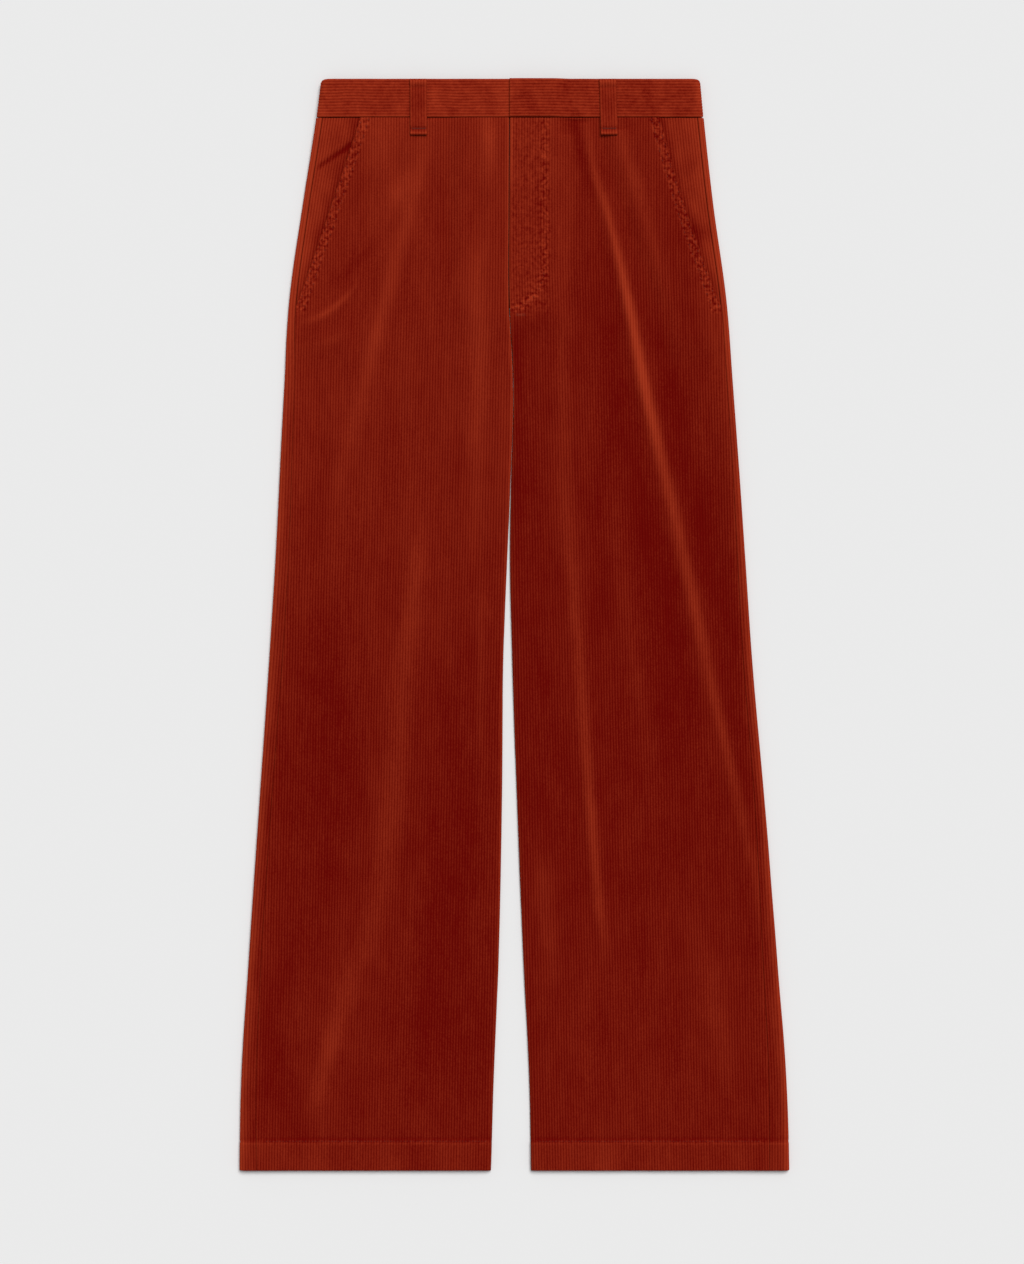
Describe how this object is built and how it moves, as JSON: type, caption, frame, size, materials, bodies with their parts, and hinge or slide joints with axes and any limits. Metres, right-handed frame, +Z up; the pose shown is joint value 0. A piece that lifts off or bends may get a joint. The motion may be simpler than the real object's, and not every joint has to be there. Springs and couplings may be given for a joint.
{
  "type": "corduroy trousers",
  "caption": "Wide-leg corduroy trousers laid flat, front up, with slanted pockets, a lapped waistband, belt loops and a covered fly.",
  "frame": {"origin": "centre of the garment's bounding box, on the surface that it lies on", "axes": "+Y towards the waist, +Z up off the surface, out of the front; -X is the wearer's right"},
  "size_m": [0.5394, 1.07, 0.0121],
  "materials": {
    "corduroy": "rust-red cotton corduroy, vertical wales, soft nap",
    "corduroy_band": "the same corduroy, wales lying along the waistband and down the loops",
    "pocketing": "plain woven cotton",
    "zip_tape": "plain woven tape"
  },
  "bodies": {
    "root": {"front_right": "corduroy", "front_left": "corduroy", "back_right": "corduroy", "back_left": "corduroy", "waistband_right": "corduroy_band", "waistband_left": "corduroy_band", "pocket_facing_right": "corduroy", "pocket_facing_left": "corduroy", "pocket_bag_right": "pocketing", "pocket_bag_left": "pocketing", "fly_shield": "corduroy", "fly_zip": "zip_tape", "belt_loop_front_right": "corduroy_band", "belt_loop_front_left": "corduroy_band", "belt_loop_side_back_right": "corduroy_band", "belt_loop_side_back_left": "corduroy_band", "belt_loop_centre_back": "corduroy_band"}
  },
  "joints": []
}
